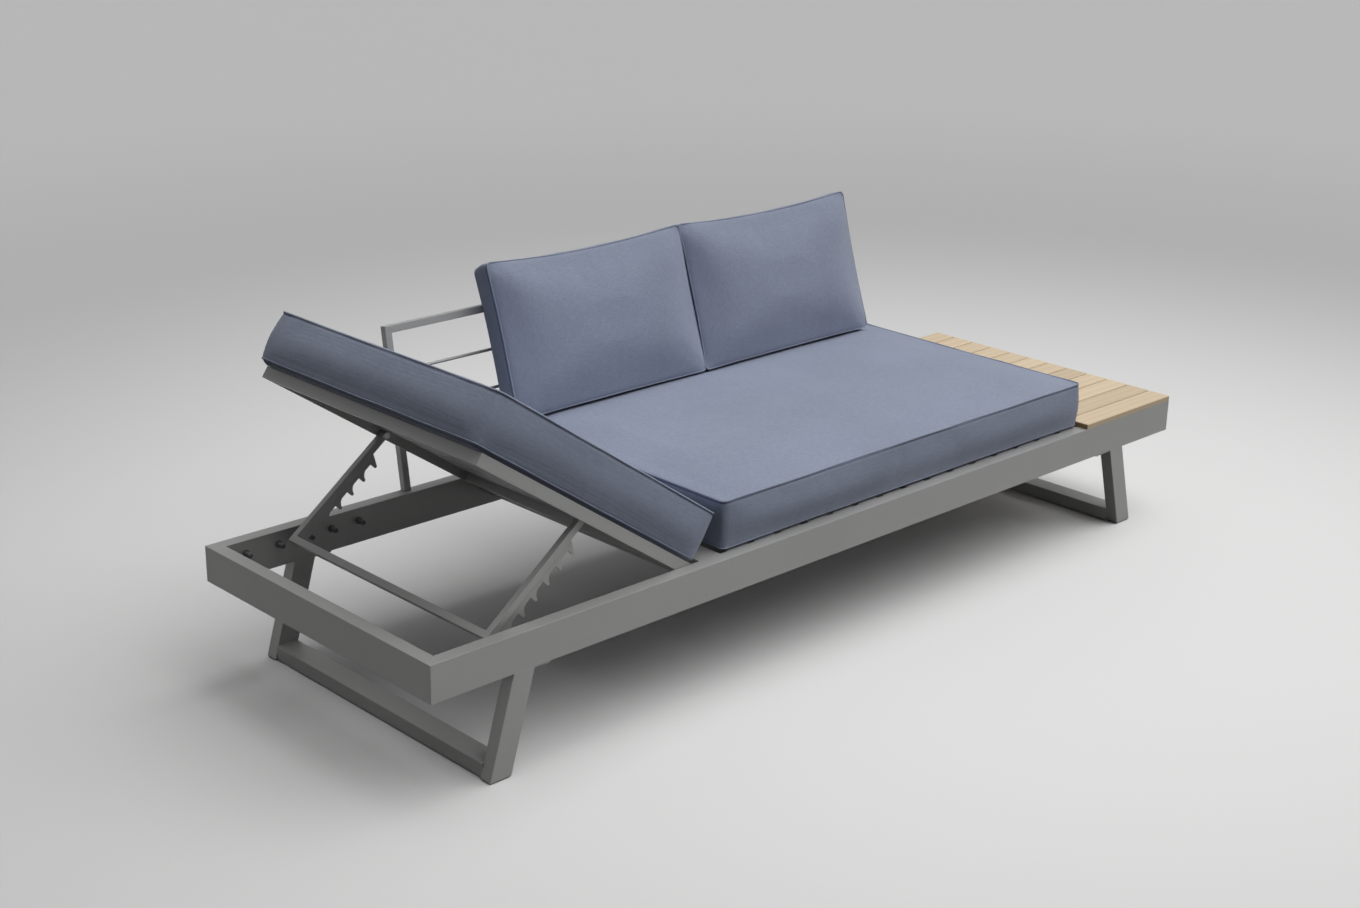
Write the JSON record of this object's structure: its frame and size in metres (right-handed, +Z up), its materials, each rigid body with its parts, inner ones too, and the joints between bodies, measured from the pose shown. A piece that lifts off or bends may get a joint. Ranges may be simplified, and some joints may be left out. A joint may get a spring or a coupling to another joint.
{
  "type": "sun lounger",
  "caption": "Low aluminium sun lounger with a tilting head section on a toothed folding support, a back frame with loose cushions, a thick seat cushion and a slatted wooden end table.",
  "frame": {"origin": "on the floor under the middle of the lounger's bounding box", "axes": "+X from the head end to the table end, +Y from the open front to the back frame, +Z up"},
  "size_m": [2.314, 0.8132, 0.7513],
  "materials": {
    "frame_paint": "satin grey powder coat",
    "teak": "sanded, oiled",
    "cushion_fabric": "woven outdoor polyester with piped seams",
    "plastic_black": "moulded nylon",
    "fastener_steel": "stainless"
  },
  "bodies": {
    "frame": {"front_rail": "frame_paint", "back_rail": "frame_paint", "head_end_rail": "frame_paint", "table_end_rail": "frame_paint", "head_leg_front": "frame_paint", "head_leg_back": "frame_paint", "head_runner": "frame_paint", "table_leg_front": "frame_paint", "table_leg_back": "frame_paint", "table_runner": "frame_paint", "leg_plates": "frame_paint", "leg_bolts": "fastener_steel", "glides": "plastic_black", "cross_tubes": "frame_paint", "seat_bearers": "frame_paint", "seat_slats": "frame_paint", "table_slats": "teak", "table_battens": "frame_paint", "table_screws": "fastener_steel", "front_pegs": "plastic_black", "back_pegs": "plastic_black", "hinge_bolts": "fastener_steel", "hinge_inserts": "fastener_steel", "hinge_washers": "plastic_black", "back_post_left": "frame_paint", "back_post_right": "frame_paint", "back_top_rail": "frame_paint", "back_bars": "frame_paint", "seat_cushion": "cushion_fabric", "back_cushion_left": "cushion_fabric", "back_cushion_right": "cushion_fabric"},
    "head_section": {"head_side_front": "frame_paint", "head_side_back": "frame_paint", "head_end_tube": "frame_paint", "head_foot_tube": "frame_paint", "head_slats": "frame_paint", "head_end_caps": "plastic_black", "hinge_bushes": "plastic_black", "pivot_inserts": "fastener_steel", "pivot_bolts": "fastener_steel", "pivot_washers": "plastic_black", "head_cushion": "cushion_fabric"},
    "support": {"support_arm_front": "frame_paint", "support_arm_back": "frame_paint", "hook_plate_front": "frame_paint", "hook_plate_back": "frame_paint", "support_foot_bar": "frame_paint", "support_bushes": "plastic_black"}
  },
  "joints": [
    {"name": "head_tilt", "type": "hinge", "parent": "frame", "child": "head_section", "pos_m": [-0.4925, -0.03157, 0.2777], "axis": [0, 1, 0], "range_deg": [-34.4, 10.6]},
    {"name": "support_fold", "type": "hinge", "parent": "head_section", "child": "support", "pos_m": [-0.75, -0.03157, 0.44856], "axis": [0, 1, 0], "range_deg": [-22.2, 72]}
  ],
  "couplings": [
    {"joint": "support_fold", "follows": "head_tilt", "ratio": -2.0901}
  ]
}
